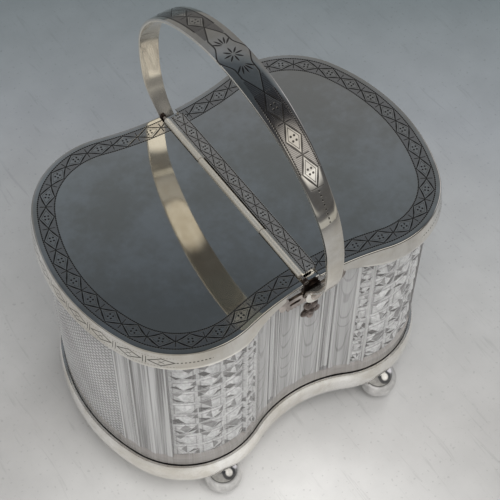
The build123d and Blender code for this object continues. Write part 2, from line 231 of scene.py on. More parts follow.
def wave(value, pitch):
    # from 0 halfway between two repeats to 0.5 at each
    return apart(calc("FRACT", divide(value, pitch)), 0.5)


def radiusOf(first, second):
    return calc("SQRT", plus(calc("POWER", first, 2.0), calc("POWER", second, 2.0)))


def blend(share, first, second):
    return plus(times(first, inverse(share)), times(second, share))


def mapRange(kind, *numbers):
    node = nodeFor(numbers, "ShaderNodeMapRange", interpolation_type=kind)
    for socket, number in zip(node.inputs, numbers):
        feed(socket, number)
    return node.outputs[0]


def ramp(value, low, high, outLow=0.0, outHigh=1.0):
    # smooth step from low to high
    return mapRange("SMOOTHSTEP", value, low, high, outLow, outHigh)


def fade(value, low, high):
    return ramp(value, low, high, 1.0, 0.0)


def lineMask(distance, half, soft=0.12):
    # 1 within half of a line, 0 beyond it; distance and half in millimetres
    return fade(distance, half - soft / 2, half + soft / 2)


def blendColor(factor, first, second, mode="MIX"):
    node = nodeFor((factor, first, second), "ShaderNodeMix", data_type="RGBA", blend_type=mode)
    feedAll(node.inputs, {0: factor, 6: first, 7: second})
    return node.outputs[2]


def toneScale(value, tones):
    # colours at the given shares of the way from 0 to 1
    node = nodeFor([value], "ShaderNodeValToRGB")
    feed(node.inputs[0], value)
    elements = node.color_ramp.elements
    while len(elements) < len(tones):
        elements.new(0.5)
    for element, (place, color) in zip(elements, tones):
        element.position = place
        element.color = (*color, 1.0)
    return node.outputs[0]


def noise(vector, scale, detail=2.0, roughness=0.5, distortion=0.0):
    node = nodeFor([vector], "ShaderNodeTexNoise")
    feedAll(node.inputs, {"Vector": vector, "Scale": scale, "Detail": detail, "Roughness": roughness,
                          "Distortion": distortion})
    return node.outputs["Fac"]


def stretch(vector, scale, turn=(0.0, 0.0, 0.0)):
    node = nodeFor([vector], "ShaderNodeMapping")
    feedAll(node.inputs, {"Vector": vector, "Rotation": turn, "Scale": scale})
    return node.outputs[0]


def axes(vector):
    node = nodeFor([vector], "ShaderNodeSeparateXYZ")
    feed(node.inputs[0], vector)
    return node.outputs[0], node.outputs[1], node.outputs[2]


def objectCoords(tree):
    return addNode(tree, "ShaderNodeTexCoord").outputs["Object"]


def uvCoords(tree, uvName):
    # the piece's own UV map, whose units are millimetres
    return addNode(tree, "ShaderNodeUVMap", uv_map=uvName).outputs[0]


def addBump(shader, height, strength, distance):
    bump = addNode(shader.id_data, "ShaderNodeBump")
    feedAll(bump.inputs, {"Strength": strength, "Distance": distance, "Height": height})
    feed(shader.inputs["Normal"], bump.outputs[0])


def newGroup(name, inputs, outputs):
    # every socket is a number, apart from one called Vector
    group = bpy.data.node_groups.new(name, "ShaderNodeTree")
    for inOut, labels in (("INPUT", inputs), ("OUTPUT", outputs)):
        for label in labels:
            kind = "NodeSocketVector" if label == "Vector" else "NodeSocketFloat"
            group.interface.new_socket(name=label, in_out=inOut, socket_type=kind)
    return group, addNode(group, "NodeGroupInput").outputs, addNode(group, "NodeGroupOutput").inputs


def placeGroup(group, **values):
    node = nodeFor(values.values(), "ShaderNodeGroup", node_tree=group)
    feedAll(node.inputs, values)
    return node.outputs


def newMaterial(name):
    material = bpy.data.materials.new(name)
    material.use_nodes = True
    tree = material.node_tree
    return material, tree, tree.nodes["Principled BSDF"]


# shared effects
# handling marks of old silver plate: slow clouds of tarnish, fine scratches and a shallow hammered
# unevenness; on the bracket and the ball feet the clouds place painted shade and painted dark reflections
def makePlateMarks():
    group, given, result = newGroup("plateMarks", ("Vector",), ("Cloud", "Scratch", "Height"))
    place = given["Vector"]
    slow = noise(place, 28.0, 3.0, 0.55)
    fine = noise(place, 240.0, 3.0, 0.6)
    cloud = plus(times(slow, 0.72), times(fine, 0.28))
    scratches = []
    for turn in (0.4, 1.9, 2.7):
        lines = noise(stretch(place, (1500.0, 45.0, 300.0), (0.3 * turn, 0.2, turn)), 1.0, 1.0, 0.4)
        scratches.append(ramp(lines, 0.70, 0.82))
    scratch = highest(*scratches)
    uneven = noise(place, 55.0, 1.0, 0.5)
    height = minus(uneven, times(scratch, 0.06))
    feed(result["Cloud"], ramp(cloud, 0.36, 0.66))
    feed(result["Scratch"], scratch)
    feed(result["Height"], height)
    return group


# bright-cut chain of lozenges between two toothed borders; lengths in millimetres
def makeLozengeChain():
    group, given, result = newGroup("lozengeChain", ("Along", "Across", "Pitch", "HalfWidth", "Border"),
                                    ("Cut", "Ground"))
    along, across = given["Along"], given["Across"]
    pitch, halfWidth, border = given["Pitch"], given["HalfWidth"], given["Border"]
    a = times(wave(along, pitch), 2.0)
    offset = apart(across)
    b = divide(offset, halfWidth)
    total = plus(a, b)
    # side strokes, broadest at their middle, with a fine second line inside
    swell = minus(0.125, times(apart(a, 0.5), 0.12))
    away = apart(total, 0.97)
    side = fade(minus(away, swell), -0.03, 0.03)
    inner = ramp(apart(total, 0.66), 0.015, 0.05, 0.8, 0.0)
    # four petals round the middle of each lozenge
    halfPitch = times(pitch, 0.5)
    spread = times(halfPitch, minus(a, 0.14))
    lift = times(halfWidth, minus(b, 0.21))
    reach = radiusOf(spread, lift)
    petals = lineMask(reach, 0.52, 0.25)
    # short stroke across at every crossing
    rest = times(halfPitch, inverse(a))
    ray = times(lineMask(rest, 0.22, 0.2), fade(b, 0.75, 0.85))
    # hatched triangles outside the lozenges
    inside = lineMask(minus(offset, border), 0.0, 0.1)
    outside = ramp(total, 1.02, 1.10)
    hatching = times(ramp(wave(along, 0.8), 0.16, 0.34), outside)
    ground = times(inside, plus(times(hatching, 0.35), times(outside, 0.35), 0.3))
    # toothed borders
    width = plus(times(wave(along, 1.2), 0.7), 0.12)
    teeth = fade(minus(apart(offset, border), width), -0.08, 0.08)
    feed(result["Cut"], highest(times(highest(side, inner, petals, ray), inside), teeth))
    feed(result["Ground"], ground)
    return group


# lighter chain of long lozenges with a pair of bars between them, and a dotted tail at each end
def makeSkirtChain():
    group, given, result = newGroup("skirtChain", ("Along", "Across", "Pitch", "HalfWidth", "ChainEnd",
                                                   "TailEnd"), ("Cut",))
    along, across = apart(given["Along"]), given["Across"]
    pitch, halfWidth = given["Pitch"], given["HalfWidth"]
    phase = calc("FRACT", plus(divide(along, pitch), 0.5))
    place = times(apart(phase, 0.5), pitch)
    offset = apart(across)
    rest = minus(times(pitch, 0.5), place)
    a = divide(place, minus(times(pitch, 0.5), 1.3))
    b = divide(offset, halfWidth)
    side = apart(plus(a, b), 0.93)
    outline = fade(side, 0.07, 0.16)
    bars = times(lineMask(apart(rest, 0.75), 0.20, 0.2), fade(b, 0.8, 0.95))
    crossOne = apart(place, times(offset, 1.6))
    cross = times(lineMask(crossOne, 0.28, 0.25), lineMask(place, 1.6, 0.4))
    teeth = wave(along, 1.5)
    rim = times(lineMask(apart(offset, plus(halfWidth, 0.35)), 0.18, 0.2), ramp(teeth, 0.2, 0.3, 0.55, 0.0))
    chain = times(highest(outline, bars, cross, rim), below(along, given["ChainEnd"]))
    tail = times(fade(wave(along, 1.9), 0.22, 0.30), lineMask(offset, 0.32, 0.2),
                 between(along, given["ChainEnd"], given["TailEnd"]))
    feed(result["Cut"], highest(chain, tail))
    return group


# tapered strokes that spread from a point like the rays of a star
def makeRays():
    group, given, result = newGroup("cutRays", ("Along", "Across", "Step", "From", "To", "Spread"), ("Cut",))
    along, across = given["Along"], given["Across"]
    radius = radiusOf(along, across)
    turn = calc("ARCTAN2", across, along)
    step = given["Step"]
    phase = calc("FRACT", plus(divide(turn, step), 0.5))
    off = times(apart(phase, 0.5), step, radius)
    share = calc("DIVIDE", minus(radius, given["From"]), minus(given["To"], given["From"]), clamp=True)
    bow = times(share, inverse(share), 1.9)
    stroke = fade(minus(off, bow), -0.12, 0.08)
    within = below(apart(turn), given["Spread"])
    shown = times(above(share, 0.02), below(share, 0.98))
    feed(result["Cut"], times(stroke, within, shown))
    return group


plateMarks = makePlateMarks()
lozengeChain = makeLozengeChain()
skirtChain = makeSkirtChain()
cutRays = makeRays()


# materials
silverLook = {"bright": (0.86, 0.845, 0.81), "tarnish": (0.70, 0.665, 0.60), "cut": (0.05, 0.046, 0.042),
              "ground": (0.56, 0.525, 0.495), "paintedReflection": (0.84, 0.795, 0.69), "roughness": 0.07,
              "waviness": 0.05, "cutDepth": 0.25, "metallic": 1.0}


def silverShader(tree, shader, look, cut=None, ground=None, paintedReflection=None):
    # polished plate with tarnish, scratches and, where there is engraving, dark cuts on a dull ground; the
    # cut mask also carries painted shade, and faces given a painted reflection are creamier, duller and less
    # metallic
    marks = placeGroup(plateMarks, Vector=objectCoords(tree))
    color = blendColor(marks["Cloud"], look["tarnish"], look["bright"])
    rough = plus(times(marks["Scratch"], 0.08), look["roughness"])
    height = times(marks["Height"], look["waviness"])
    metallic = look["metallic"]
    if ground is not None:
        color = blendColor(ground, color, look["ground"])
        rough = plus(rough, times(ground, 0.12))
    # engraved cuts, and painted shade where the mask carries it
    if cut is not None:
        color = blendColor(times(cut, 0.95), color, look["cut"])
        rough = plus(rough, times(cut, 0.2))
        height = minus(height, times(cut, look["cutDepth"]))
    # painted reflection: a cream tone with less metal where a face mirrors the pale floor
    if paintedReflection is not None:
        color = blendColor(times(paintedReflection, inverse(cut)), color, look["paintedReflection"])
        rough = plus(rough, times(paintedReflection, 0.05))
        metallic = inverse(times(paintedReflection, 0.22))
    feedAll(shader.inputs, {"Base Color": color, "Roughness": rough, "Metallic": metallic})
    addBump(shader, height, 0.35, 0.0004)


def makeSilver(name, **changes):
    material, tree, shader = newMaterial(name)
    silverShader(tree, shader, {**silverLook, **changes})
    return material


bandLook = {"middle": 7.45, "lozengeHalf": 3.95, "border": 4.35, "pitch": 14.1,
            "skirtMiddle": 5.9, "skirtHalf": 2.6, "skirtPitch": 16.35, "chainEnd": 72.5, "tailEnd": 90.0}


def makeLidMaterial(name, shift):
    material, tree, shader = newMaterial(name)
    look = bandLook
    along, inward = axes(uvCoords(tree, "band"))[:2]
    top = placeGroup(lozengeChain, Along=plus(along, shift), Across=minus(inward, look["middle"]),
                     Pitch=look["pitch"], HalfWidth=look["lozengeHalf"], Border=look["border"])
    skirtAlong, drop = axes(uvCoords(tree, "skirt"))[:2]
    skirt = placeGroup(skirtChain, Along=skirtAlong, Across=plus(drop, look["skirtMiddle"]),
                       Pitch=look["skirtPitch"], HalfWidth=look["skirtHalf"], ChainEnd=look["chainEnd"],
                       TailEnd=look["tailEnd"])
    cut = highest(top["Cut"], times(skirt["Cut"], 0.95))
    silverShader(tree, shader, {**silverLook, "roughness": 0.03, "waviness": 0.012}, cut, top["Ground"])
    return material


# the cast silver's dark tarnish colour and its cut colour are painted shade
bracketLook = {"bright": (0.70, 0.64, 0.60), "tarnish": (0.13, 0.105, 0.095), "cut": (0.055, 0.036, 0.028),
               "roughness": 0.15, "cutDepth": 0.0, "hollowHalf": 0.0115, "hollowBottom": 0.1485}


def makeBracketMaterial():
    # cast silver whose dark patches are painted shade, with more painted shade in the hollow round the end of
    # the hinge pin
    material, tree, shader = newMaterial("castSilver")
    across, _, height = axes(objectCoords(tree))
    half, bottom = bracketLook["hollowHalf"], bracketLook["hollowBottom"]
    # painted shade in the hollow round the end of the hinge pin
    hollowShade = times(fade(apart(across), half * 0.75, half), ramp(height, bottom, bottom + 0.002))
    silverShader(tree, shader, {**silverLook, **bracketLook}, hollowShade)
    return material


leafLook = {"roughness": 0.12, "metallic": 0.9, "middle": 1.7, "pitch": 13.3, "lozengeHalf": 2.9,
            "border": 3.25}


def makeStrapMaterial():
    material, tree, shader = newMaterial("engravedLeaf")
    across, along = (divide(value, mm) for value in axes(objectCoords(tree))[:2])
    chain = placeGroup(lozengeChain, Along=along, Across=minus(across, leafLook["middle"]),
                       Pitch=leafLook["pitch"], HalfWidth=leafLook["lozengeHalf"], Border=leafLook["border"])
    silverShader(tree, shader, {**silverLook, **leafLook}, chain["Cut"], chain["Ground"])
    return material


handleLook = {"roughness": 0.06, "waviness": 0.03, "cut": (0.09, 0.083, 0.078), "ground": (0.27, 0.255, 0.25),
              "shift": 0.8, "pitch": 16.3, "chainStart": 24.3, "chainEnd": 73.2, "hatchEnd": 65.0,
              "tailEnd": 91.0, "lozengeHalf": 4.3, "border": 5.3, "starReach": 5.0, "sprayStart": 6.4,
              "sprayReach": 6.6, "shieldHalf": 4.6, "shieldPoint": 8.0, "shieldRun": 10.5, "footShadeTop": 0.166}


def makeHandleMaterial():
    # middle: star and two sprays in a bracket-ended shield; then three lozenges and a dotted tail each way
    look = handleLook
    material, tree, shader = newMaterial("engravedHandle")
    along, across = axes(uvCoords(tree, "strap"))[:2]
    fromMiddle = minus(along, look["shift"])
    far = apart(fromMiddle)
    side = apart(across)
    chain = placeGroup(lozengeChain, Along=minus(far, look["chainStart"]), Across=across,
                       Pitch=look["pitch"], HalfWidth=look["lozengeHalf"], Border=look["border"])
    started = above(far, look["chainStart"])
    notYet = inverse(started)
    edgeGone = times(above(far, look["hatchEnd"]), above(side, look["lozengeHalf"]))
    cut = times(chain["Cut"], between(far, look["chainStart"], look["chainEnd"]), inverse(edgeGone))
    # shield: |across| grows from the first crossing, levels off, then runs out to the edge of the strap
    rise = mapRange("LINEAR", far, look["chainStart"], look["chainStart"] - look["shieldRun"], 0.0,
                    look["shieldHalf"])
    gap = minus(side, plus(rise, ramp(far, 9.0, 0.0, 0.0, look["shieldPoint"] - look["shieldHalf"])))
    outline = times(lineMask(apart(gap), 0.34, 0.3), notYet)
    corner = times(above(far, look["chainStart"] - 9.0), above(gap, 0.3), below(side, look["border"]), notYet,
                   ramp(wave(far, 0.8), 0.16, 0.34, 0.4, 1.0))
    ground = highest(times(chain["Ground"], between(far, look["chainStart"], look["hatchEnd"])), corner)
    star = placeGroup(cutRays, Along=fromMiddle, Across=across, Step=math.pi / 4, From=0.7,
                      To=look["starReach"], Spread=4.0)
    spray = placeGroup(cutRays, Along=minus(far, look["sprayStart"]), Across=across, Step=0.42, From=1.4,
                       To=look["sprayReach"], Spread=1.1)
    tail = times(fade(wave(far, 2.3), 0.20, 0.28), lineMask(side, 0.34, 0.2),
                 between(far, look["chainEnd"], look["tailEnd"]))
    # the inner face gets a painted cream reflection of the floor
    inner = above(across, 30.0)
    # painted shade on the inner face near the feet, put in through the cut mask
    low = fade(axes(objectCoords(tree))[2], look["footShadeTop"] - 0.008, look["footShadeTop"] + 0.012)
    cut = highest(cut, outline, star["Cut"], spray["Cut"], tail, times(inner, low, 0.8))
    silverShader(tree, shader, {**silverLook, **look}, cut, ground, inner)
    return material


def makeFacetTones():
    # painted light and shade of a cut cell: coordinates run from -1 to 1 across it and up it; each of its
    # four facets, and the small ones round the peak, gets its own painted tone, the upper facet a little
    # lighter, and thin painted highlights follow the ridges and the valleys
    group, given, result = newGroup("facetTones", ("Column", "Row", "Peak", "Line"), ("Tone",))
    column, row = given["Column"], given["Row"]
    p, q = (minus(times(calc("FRACT", value), 2.0), 1.0) for value in (column, row))
    across, up = apart(p), apart(q)
    upright = above(up, across)
    rightHalf, upperHalf = above(p, 0.0), above(q, 0.0)
    facet = plus(times(upright, 2.0), blend(upright, rightHalf, upperHalf))
    halfOf = blend(upright, upperHalf, rightHalf)
    inner = below(plus(across, up), given["Peak"])
    key = addNode(group, "ShaderNodeCombineXYZ")
    feed(key.inputs[0], plus(calc("FLOOR", column), times(facet, 31.0)))
    feed(key.inputs[1], plus(calc("FLOOR", row), times(inner, 57.0)))
    feed(key.inputs[2], times(halfOf, 13.0))
    chance = addNode(group, "ShaderNodeTexWhiteNoise", noise_dimensions="3D")
    feed(chance.inputs["Vector"], key.outputs[0])
    mild = ramp(chance.outputs["Value"], 0.20, 0.34, 0.24, 1.0)
    strong = ramp(chance.outputs["Value"], 0.42, 0.50, 0.08, 1.0)
    beside = times(inner, inverse(upright))
    tone = blend(beside, mild, strong)
    topLit = times(above(facet, 2.5), 0.12)
    tone = calc("ADD", tone, topLit, clamp=True)
    toEdge = inverse(highest(across, up))
    ridge = fade(apart(across, up), 0.0, given["Line"])
    valley = fade(toEdge, 0.0, given["Line"])
    # a thin painted shadow along each painted highlight
    shade = ramp(apart(toEdge, times(given["Line"], 2.4)), 0.0, given["Line"], 0.45, 0.0)
    feed(result["Tone"], times(highest(tone, ridge, valley), inverse(shade)))
    return group


facetTones = makeFacetTones()

# the glass colours are painted light: bright and dark for the painted facets and streaks, a painted
# reflection at the foot and a painted shadow in the gap
glassLook = {"bright": (1.0, 0.995, 0.985), "dark": (0.13, 0.122, 0.118), "foot": (0.55, 0.51, 0.475),
             "gapShadow": (0.008, 0.006, 0.005), "transmission": 0.48, "ior": 1.5, "hobnailEnd": 33.7,
             "hobnailPitch": 33.5 / 13,
             "starStart": 64.0, "starEnd": 107.5, "columnStart": 108.5, "columnEnd": 115.5, "cutLow": 44.6,
             "cutHigh": 145.0, "rowPitch": 100.4 / 9, "gapShadowTop": 36.7, "runOutTop": 49.0, "innerFaces": 150.0,
             "edges": (34.0, 43.5, 53.0, 62.5, 116.5, 127.5, 130.9, 135.0, 148.3),
             "flutes": ((141.5, 5.6), (122.0, 4.8)), "ribs": (128.8, 133.2)}


def makeGlassMaterial():
    # clear glass, part diffuse, with the light and shade of its cutting painted on: bright and grey facets
    # and streaks, a painted brownish reflection at the foot and a painted shadow in the gap above the base
    # band; the wall's own UV map gives the distance round the wall from the end of a lobe and the height, in
    # millimetres
    look = glassLook
    material, tree, shader = newMaterial("cutGlass")
    place = objectCoords(tree)
    wall = uvCoords(tree, "wall")
    along, height = axes(wall)[:2]
    low, high = look["cutLow"], look["cutHigh"]

    def cells(value, first, pitch):
        return divide(minus(value, first), pitch)

    def streak(across, upward, dark, bright, detail=2.0):
        # streaks that run up the wall
        return ramp(noise(stretch(wall, (across, upward, 1.0)), 1.0, detail, 0.6), dark, bright)

    # flutes and plain bars: broad soft streaks of painted reflection, with fine painted highlights and shade
    # over them
    broad = streak(0.22, 0.004, 0.36, 0.60)
    fine = streak(1.15, 0.010, 0.44, 0.56, 3.0)
    tone = plus(times(broad, 0.52), times(fine, 0.28), 0.28)
    tone = calc("SUBTRACT", tone, times(streak(1.9, 0.008, 0.60, 0.66, 1.0), 0.30), clamp=True)
    # a painted highlight along each panel edge, with a painted dark line beside it
    for edge in look["edges"]:
        tone = highest(tone, times(lineMask(apart(along, edge), 0.45, 0.4), 0.97))
        tone = times(tone, inverse(times(lineMask(apart(along, edge + 1.0), 0.3, 0.3), 0.45)))
    # painted light and shade: hanging curves in the broad flutes, on an even grey
    for middle, half in look["flutes"]:
        across = apart(divide(minus(along, middle), half))
        level = minus(height, times(calc("POWER", across, 3.0), 26.0))
        curve = ramp(wave(plus(level, times(noise(place, 20.0, 2.0), 60.0)), 15.0), 0.02, 0.12, 0.30, 0.62)
        tone = blend(above(across, 1.0), plus(times(curve, 0.62), times(tone, 0.38)), tone)
    # hobnails: painted highlights as bright points in a dark slanting net, which fades into broad painted
    # patches of light and shade
    netAcross = wave(along, look["hobnailPitch"])
    netUp = wave(minus(height, low), look["rowPitch"] / 4)
    net = ramp(apart(plus(netAcross, netUp), 0.5), 0.05, 0.22, 0.38, 1.0)
    net = times(net, ramp(noise(place, 40.0, 2.0), 0.3, 0.7, 0.82, 1.0))
    rows = cells(height, low, look["rowPitch"])
    starPitch = (look["starEnd"] - look["starStart"]) / 3
    columnPitch = look["columnEnd"] - look["columnStart"]
    # painted light and shade on the large and narrow pyramids, broken by a fine painted sparkle
    crackle = ramp(noise(place, 520.0, 3.0, 0.7), 0.38, 0.62, 0.70, 1.0)
    large = placeGroup(facetTones, Column=cells(along, look["starStart"], starPitch), Row=rows, Peak=0.95,
                       Line=0.10)["Tone"]
    narrow = placeGroup(facetTones, Column=cells(along, look["columnStart"], columnPitch), Row=rows, Peak=0.9,
                        Line=0.16)["Tone"]
    for panel, start, end in ((net, -1.0, look["hobnailEnd"]),
                              (times(large, crackle), look["starStart"], look["starEnd"]),
                              (times(narrow, crackle), look["columnStart"], look["columnEnd"])):
        tone = blend(times(between(along, start, end), between(height, low, high)), tone, panel)
    # painted shade over the foot of the ribs
    stops = times(between(along, *look["ribs"]), between(height, low - 0.3, look["runOutTop"]))
    tone = times(tone, inverse(times(stops, 0.5)))
    tone = highest(tone, above(height, look["innerFaces"]))  # inner faces and the top stay clear
    color = blendColor(tone, look["dark"], look["bright"])
    # painted brownish reflection at the foot of the cutting
    foot = ramp(plus(height, times(broad, 0.8)), low, low + 2.0, 0.85, 0.0)
    color = blendColor(foot, color, look["foot"])
    # painted shadow in the gap between the glass and the base band
    uneven = minus(noise(place, 140.0, 3.0, 0.7), 0.5)
    gapShadow = fade(plus(height, uneven), look["gapShadowTop"] - 0.1, look["gapShadowTop"] + 0.15)
    feedAll(shader.inputs, {"Base Color": blendColor(gapShadow, color, look["gapShadow"]),
                            "Roughness": ramp(noise(place, 90.0, 3.0), 0.3, 0.8, 0.0, 0.03),
                            "Transmission Weight": look["transmission"], "IOR": look["ior"]})
    addBump(shader, tone, 0.3, 0.0008)
    return material


innerLook = {"tint": (0.97, 0.968, 0.96), "cloud": (0.90, 0.893, 0.88), "transmission": 0.88}


def makeInnerGlassMaterial():
    # smooth inner faces: clearer, with faint clouds and a fire-polished unevenness
    material, tree, shader = newMaterial("innerGlass")
    place = objectCoords(tree)
    cloud = ramp(noise(place, 30.0, 3.0, 0.6), 0.35, 0.7)
    feedAll(shader.inputs, {"Base Color": blendColor(cloud, innerLook["tint"], innerLook["cloud"]),
                            "Roughness": ramp(noise(place, 80.0, 2.0), 0.3, 0.8, 0.0, 0.04),
                            "Transmission Weight": innerLook["transmission"], "IOR": glassLook["ior"]})
    addBump(shader, noise(place, 60.0, 2.0), 0.2, 0.0005)
    return material


silver = makeSilver("silverPlate")
# a lighter, less metallic copy of the plate; its extra brightness is painted light from the pale table it
# mirrors
litBaseSilver = makeSilver("litBaseSilver", bright=(0.95, 0.94, 0.92), roughness=0.08, waviness=0.04,
                        metallic=0.85)
# the feet: a brighter copy of the plate whose dark clouds are painted dark reflections
ballSilver = makeSilver("ballSilver", bright=(0.97, 0.96, 0.95), tarnish=(0.46, 0.455, 0.45), roughness=0.02,
                        waviness=0.02)
barrelSilver = makeSilver("barrelSilver", bright=(0.97, 0.93, 0.84), tarnish=(0.86, 0.80, 0.68),
                          roughness=0.2, metallic=0.75)
castSilver = makeBracketMaterial()
pinSteel = makeSilver("pinSteel", bright=(0.62, 0.56, 0.51), tarnish=(0.30, 0.25, 0.22), roughness=0.22)
blossomSilver = makeSilver("blossomSilver", bright=(0.62, 0.53, 0.49), tarnish=(0.07, 0.055, 0.05),
                           roughness=0.14)
leafSilver = makeStrapMaterial()
handleSilver = makeHandleMaterial()
cutGlass = makeGlassMaterial()
innerGlass = makeInnerGlassMaterial()
leftLidSilver = makeLidMaterial("leftLidSilver", 8.5)
rightLidSilver = makeLidMaterial("rightLidSilver", 7.05)
print("materials made")


# glass vessel
vessel = {"bottom": 22.4, "top": 155.0, "wall": 5.0, "floor": 31.4, "floorFillet": 4.0,
          "cutLow": 44.6, "rowStep": 100.4 / 72, "rows": 72, "runOut": 1.5,
          "hobnailDepth": 0.8, "starDepth": 2.0, "columnDepth": 1.2, "fluteDepth": 0.75, "ribDepth": 0.8,
          "partition": 6.0, "partitionHalf": 52.0, "starRows": 8, "bandTop": 35.6, "innerLevel": 96.0,
          "innerV": 200.0, "sharpAngle": 18.0}
# panels of a quarter of the wall, from the end to the waist: kind, start, end, repeats, grid columns
vesselPanels = [("hobnail", 0.0, 33.5, 13, 26), ("plain", 33.5, 34.0, 1, 1), ("flute", 34.0, 62.5, 3, 24),
                ("plain", 62.5, 64.0, 1, 2), ("star", 64.0, 107.5, 3, 24), ("plain", 107.5, 108.5, 1, 1),
                ("column", 108.5, 115.5, 1, 8), ("plain", 115.5, 116.5, 1, 1), ("flute", 116.5, 127.5, 1, 9),
                ("plain", 127.5, 128.5, 1, 1), ("rib", 128.5, 133.5, 2, 12), ("plain", 133.5, 135.0, 1, 1),
                ("flute", 135.0, 148.0, 1, 10), ("plain", 148.0, 149.289, 1, 2)]


def triangleWave(value):
    return 1.0 - np.abs(2.0 * (value - np.floor(value)) - 1.0)


def makeVessel():
    # outer wall: point on the outline at s, moved inwards by a relief that depends on the panel.
    # Hobnails and pyramids: depth times one minus the smaller of two triangle waves, so they are flat-sided.
    # Flutes: depth times one minus the square of the place across. Ribs: half rounds.
    kinds, places, shares = [], [], []
    for kind, low, high, repeats, columns in vesselPanels:
        t = np.arange(columns) / columns
        kinds += [kind] * columns
        places.append(low + (high - low) * t)
        shares.append(t * repeats)
    places, shares = np.concatenate(places), np.concatenate(shares)
    total = outlineLength(glassOutline)
    s = np.concatenate([places, [total], 2 * total - places[:0:-1]])
    s = np.concatenate([s, s + 2 * total])
    kind = np.array((kinds + ["plain"] + kinds[:0:-1]) * 2)
    share = np.tile(np.concatenate([shares, [0.0], shares[:0:-1]]), 2)
    x, y, nx, ny = outlinePoint(glassOutline, s)
    row = np.arange(vessel["rows"] + 1)
    cutZ = vessel["cutLow"] + vessel["rowStep"] * row
    across = triangleWave(share)
    fine = 1 - np.minimum(across, triangleWave(row / 2)[:, None])
    coarse = 1 - np.minimum(across, triangleWave(row / vessel["starRows"])[:, None])
    bow = 1.0 - (2.0 * (share - np.floor(share)) - 1.0) ** 2
    reliefs = {"hobnail": vessel["hobnailDepth"] * fine, "star": vessel["starDepth"] * coarse,
               "column": vessel["columnDepth"] * coarse, "flute": vessel["fluteDepth"] * bow,
               "rib": vessel["ribDepth"] * (1 - np.sqrt(np.clip(bow, 0, 1)))}
    relief = np.select([kind == panel for panel in reliefs], list(reliefs.values()), 0.0)
    # rows from the foot up the outer wall, over the top and down to the floor: height, distance inwards
    bottom, top, wall, fillet = (vessel[key] for key in ("bottom", "top", "wall", "floorFillet"))
    rows = [(bottom, 1.5), (bottom + 0.2, 0.6), (bottom + 0.8, 0.0), (vessel["bandTop"], 0.0),
            (vessel["cutLow"] - vessel["runOut"], 0.0), *zip(cutZ, relief),
            (cutZ[-1] + vessel["runOut"], 0.0), (top - 0.8, 0.0), (top - 0.2, 0.25), (top, 0.8),
            (top, wall - 0.6), (top - 0.6, wall), (vessel["innerLevel"], wall),
            (vessel["floor"] + fillet, wall)]
    for turn in np.radians([22.5, 45.0, 67.5, 90.0]):
        rows.append((vessel["floor"] + fillet * (1 - math.sin(turn)), wall + fillet * (1 - math.cos(turn))))
    depth = np.stack([np.broadcast_to(inset, len(s)) for z, inset in rows])
    levels = np.array([z for z, inset in rows])[:, None]
    points = np.stack(np.broadcast_arrays(x - nx * depth, y - ny * depth, levels), -1).reshape(-1, 3)
    quads = gridFaces(len(rows), len(s), wrap=True)
    # each pyramid's ridges run corner to corner, so quads are split along the ridge
    ahead = np.roll(depth, -1, axis=1)
    slash = (np.abs(depth[:-1] - ahead[1:]) >= np.abs(ahead[:-1] - depth[1:])).ravel()
    rising, falling = quads[slash], quads[~slash]
    triangles = np.concatenate([rising[:, [0, 1, 2]], rising[:, [0, 2, 3]],
                                falling[:, [0, 1, 3]], falling[:, [1, 2, 3]]])
    low = np.arange(len(s))[None, ::-1]
    high = (np.arange(len(s)) + (len(rows) - 1) * len(s))[None, :]
    half, reach = vessel["partition"] / 2, vessel["partitionHalf"]
    slab, slabFaces = boxShell(-half, half, -reach, reach, vessel["floor"] + 0.05, top, len(points))
    # the wall's UV map: distance from the end of the lobe and height; inner faces are kept out of the cutting
    folded = np.minimum(np.mod(s, 2 * total), 2 * total - np.mod(s, 2 * total))
    levels = np.where(depth[:, :1] > wall - 1.0, vessel["innerV"], levels)
    uv = np.stack(np.broadcast_arrays(folded, levels), -1).reshape(-1, 2)
    plain = np.array([75.0, vessel["innerV"]])
    uvs = [uv[triangles]] + [np.broadcast_to(plain, (*faces.shape, 2)) for faces in (low, high, slabFaces)]
    piece = makePiece("glassVessel", np.concatenate([points, slab]), [triangles, low, high, slabFaces],
                      {"wall": uvs}, sharp=vessel["sharpAngle"])
    piece.data.materials.append(cutGlass)
    piece.data.materials.append(innerGlass)
    inside = np.concatenate([(uv[triangles][..., 1] > glassLook["innerFaces"]).all(axis=1), [False, True],
                             np.full(len(slabFaces), True)])
    piece.data.polygons.foreach_set("material_index", inside.astype(np.int32))
    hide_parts("glass_body")
    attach(piece, "jar")
    return piece


glassVessel = makeVessel()
print("glass vessel made")


# lids
lidShape = {"top": 157.6, "thickness": 1.0, "edgeRadius": 0.7, "skirtHeight": 10.8, "skirtThickness": 0.9,
            "flare": 1.9, "columns": 420, "skirtStart": 0.62, "lip": 0.15, "lipRound": 0.18, "offSkirt": 50.0}
# distance from the waist, share of the full height of the skirt
leftSkirtRise = [(17.0, 0.0), (17.5, 0.28), (22.0, 0.34), (28.0, 0.47), (33.0, 0.62), (39.0, 0.88),
                 (44.0, 1.0)]
rightSkirtRise = [(17.0, 0.0), (17.5, 0.42), (22.0, 0.50), (28.0, 0.68), (33.0, 0.86), (39.0, 1.0)]


